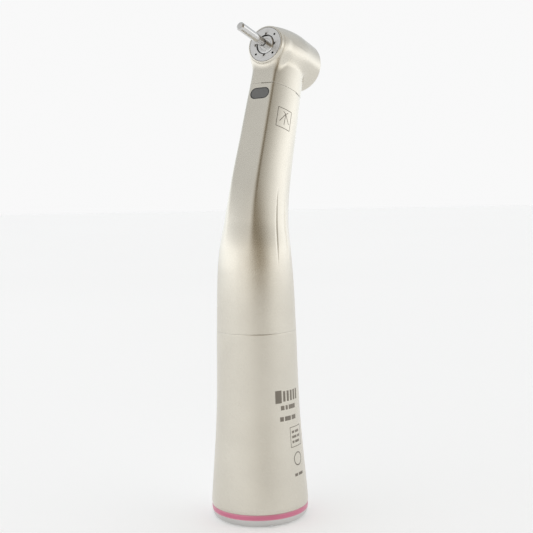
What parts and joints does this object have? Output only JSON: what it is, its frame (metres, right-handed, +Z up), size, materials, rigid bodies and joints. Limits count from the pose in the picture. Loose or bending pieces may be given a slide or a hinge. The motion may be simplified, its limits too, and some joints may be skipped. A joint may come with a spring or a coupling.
{
  "type": "contra angle dental handpiece",
  "caption": "Speed-increasing contra angle dental handpiece with a flared motor-end sleeve, bent neck, light window, push-button chuck head and a plain test pin in the chuck.",
  "frame": {"origin": "centre of the motor end, in the plane of the end ring's lower edge", "axes": "+Z up the handle from the motor end, -Y the side the bur points to, +X to the right of someone looking along +Y"},
  "size_m": [0.018, 0.0293, 0.091],
  "materials": {
    "casing": "fine satin titanium-coloured coating",
    "polished_ring": "polished",
    "colour_band": "semi-gloss rose lacquer",
    "button_face": "satin, lightly turned",
    "nose_face": "fine turned",
    "window_glass": "polished",
    "light_guide": "polished",
    "bright_steel": "ground and polished",
    "line_tube": "drawn",
    "inner_frame": "turned",
    "manifold": "turned",
    "gear_steel": "ground and oiled",
    "shaft_steel": "ground",
    "spring_steel": "drawn wire",
    "seal_rubber": "smooth",
    "bearing_race": "ground",
    "bearing_balls": "polished"
  },
  "bodies": {
    "handle": {"air_line": "line_tube", "button_spring": "spring_steel", "colour_ring": "colour_band", "core_tube": "inner_frame", "coupling_tube": "inner_frame", "drive_bearing_outer_races": "bearing_race", "end_ring": "polished_ring", "head_bearing_outer_races": "bearing_race", "head_cap": "casing", "head_housing": "casing", "index_pin": "shaft_steel", "joint_ring": "inner_frame", "lens": "window_glass", "light_rod": "light_guide", "manifold_seals": "seal_rubber", "neck_bearing_outer_races": "bearing_race", "neck_sheath": "casing", "neck_tube": "inner_frame", "nose_ring": "nose_face", "rear_sleeve": "casing", "ring_gear": "gear_steel", "spray_manifold": "manifold", "sun_bearing_outer_races": "bearing_race", "water_line": "line_tube"},
    "drive": {"drive_shaft": "shaft_steel", "drive_dog": "shaft_steel", "planet_carrier": "gear_steel", "planet_pins": "shaft_steel", "drive_bearing_inner_races": "bearing_race"},
    "planet_1": {"planet_gear_1": "gear_steel"},
    "planet_2": {"planet_gear_2": "gear_steel"},
    "planet_3": {"planet_gear_3": "gear_steel"},
    "sun": {"sun_gear": "gear_steel", "sun_shaft": "shaft_steel", "knee_input_gear": "gear_steel", "sun_bearing_inner_races": "bearing_race"},
    "neck_drive": {"neck_shaft": "shaft_steel", "knee_output_gear": "gear_steel", "head_gear": "gear_steel", "neck_bearing_inner_races": "bearing_race"},
    "chuck": {"spindle": "bright_steel", "collet": "bright_steel", "head_pinion": "gear_steel", "head_bearing_inner_races": "bearing_race"},
    "release_plunger": {"chuck_plunger": "shaft_steel"},
    "bur": {"bur": "bright_steel"},
    "button": {"push_button": "button_face"},
    "drive_bearing_balls": {"drive_bearing_balls": "bearing_balls"},
    "sun_bearing_balls": {"sun_bearing_balls": "bearing_balls"},
    "neck_bearing_balls": {"neck_bearing_balls": "bearing_balls"},
    "head_bearing_balls": {"head_bearing_balls": "bearing_balls"}
  },
  "joints": [
    {"name": "drive_spin", "type": "hinge", "parent": "handle", "child": "drive", "pos_m": [0, 0, 0.03], "axis": [0, 0, 1], "continuous": true},
    {"name": "planet_1_spin", "type": "hinge", "parent": "drive", "child": "planet_1", "pos_m": [0.0027, 0, 0.039], "axis": [0, 0, 1], "continuous": true},
    {"name": "planet_2_spin", "type": "hinge", "parent": "drive", "child": "planet_2", "pos_m": [-0.00135, 0.00234, 0.039], "axis": [0, 0, 1], "continuous": true},
    {"name": "planet_3_spin", "type": "hinge", "parent": "drive", "child": "planet_3", "pos_m": [-0.00135, -0.00234, 0.039], "axis": [0, 0, 1], "continuous": true},
    {"name": "sun_spin", "type": "hinge", "parent": "handle", "child": "sun", "pos_m": [0, 0, 0.045], "axis": [0, 0, 1], "continuous": true},
    {"name": "neck_spin", "type": "hinge", "parent": "handle", "child": "neck_drive", "pos_m": [0, 0.00488, 0.06748], "axis": [0, 0.3256, 0.9455], "continuous": true},
    {"name": "chuck_spin", "type": "hinge", "parent": "handle", "child": "chuck", "pos_m": [0, 0.01125, 0.08597], "axis": [0, -0.9724, 0.2334], "continuous": true},
    {"name": "drive_bearing_roll", "type": "hinge", "parent": "handle", "child": "drive_bearing_balls", "pos_m": [0, 0, 0.03], "axis": [0, 0, 1], "continuous": true},
    {"name": "sun_bearing_roll", "type": "hinge", "parent": "handle", "child": "sun_bearing_balls", "pos_m": [0, 0, 0.046], "axis": [0, 0, 1], "continuous": true},
    {"name": "neck_bearing_roll", "type": "hinge", "parent": "handle", "child": "neck_bearing_balls", "pos_m": [0, 0.00521, 0.06843], "axis": [0, 0.3256, 0.9455], "continuous": true},
    {"name": "head_bearing_roll", "type": "hinge", "parent": "handle", "child": "head_bearing_balls", "pos_m": [0, 0.01125, 0.08597], "axis": [0, -0.9724, 0.2334], "continuous": true},
    {"name": "button_press", "type": "slide", "parent": "handle", "child": "button", "axis": [0, -0.9724, 0.2334], "range_m": [0, 0.0008], "stiffness_N_per_m": 2000, "springref_m": -0.0005, "deforming": ["button_spring"]},
    {"name": "plunger_slide", "type": "slide", "parent": "chuck", "child": "release_plunger", "axis": [0, -0.9724, 0.2334], "range_m": [0, 0.0008]},
    {"name": "bur_slide", "type": "slide", "parent": "chuck", "child": "bur", "axis": [0, -0.9724, 0.2334], "range_m": [0, 0.0165]}
  ],
  "couplings": [
    {"joint": "planet_1_spin", "follows": "drive_spin", "ratio": -4},
    {"joint": "planet_2_spin", "follows": "drive_spin", "ratio": -4},
    {"joint": "planet_3_spin", "follows": "drive_spin", "ratio": -4},
    {"joint": "sun_spin", "follows": "drive_spin", "ratio": 3},
    {"joint": "neck_spin", "follows": "drive_spin", "ratio": 3},
    {"joint": "chuck_spin", "follows": "drive_spin", "ratio": 5},
    {"joint": "drive_bearing_roll", "follows": "drive_spin", "ratio": 0.3579},
    {"joint": "sun_bearing_roll", "follows": "drive_spin", "ratio": 1.0186},
    {"joint": "neck_bearing_roll", "follows": "drive_spin", "ratio": 1.05},
    {"joint": "head_bearing_roll", "follows": "drive_spin", "ratio": 1.9626},
    {"joint": "plunger_slide", "follows": "button_press", "ratio": 1}
  ]
}
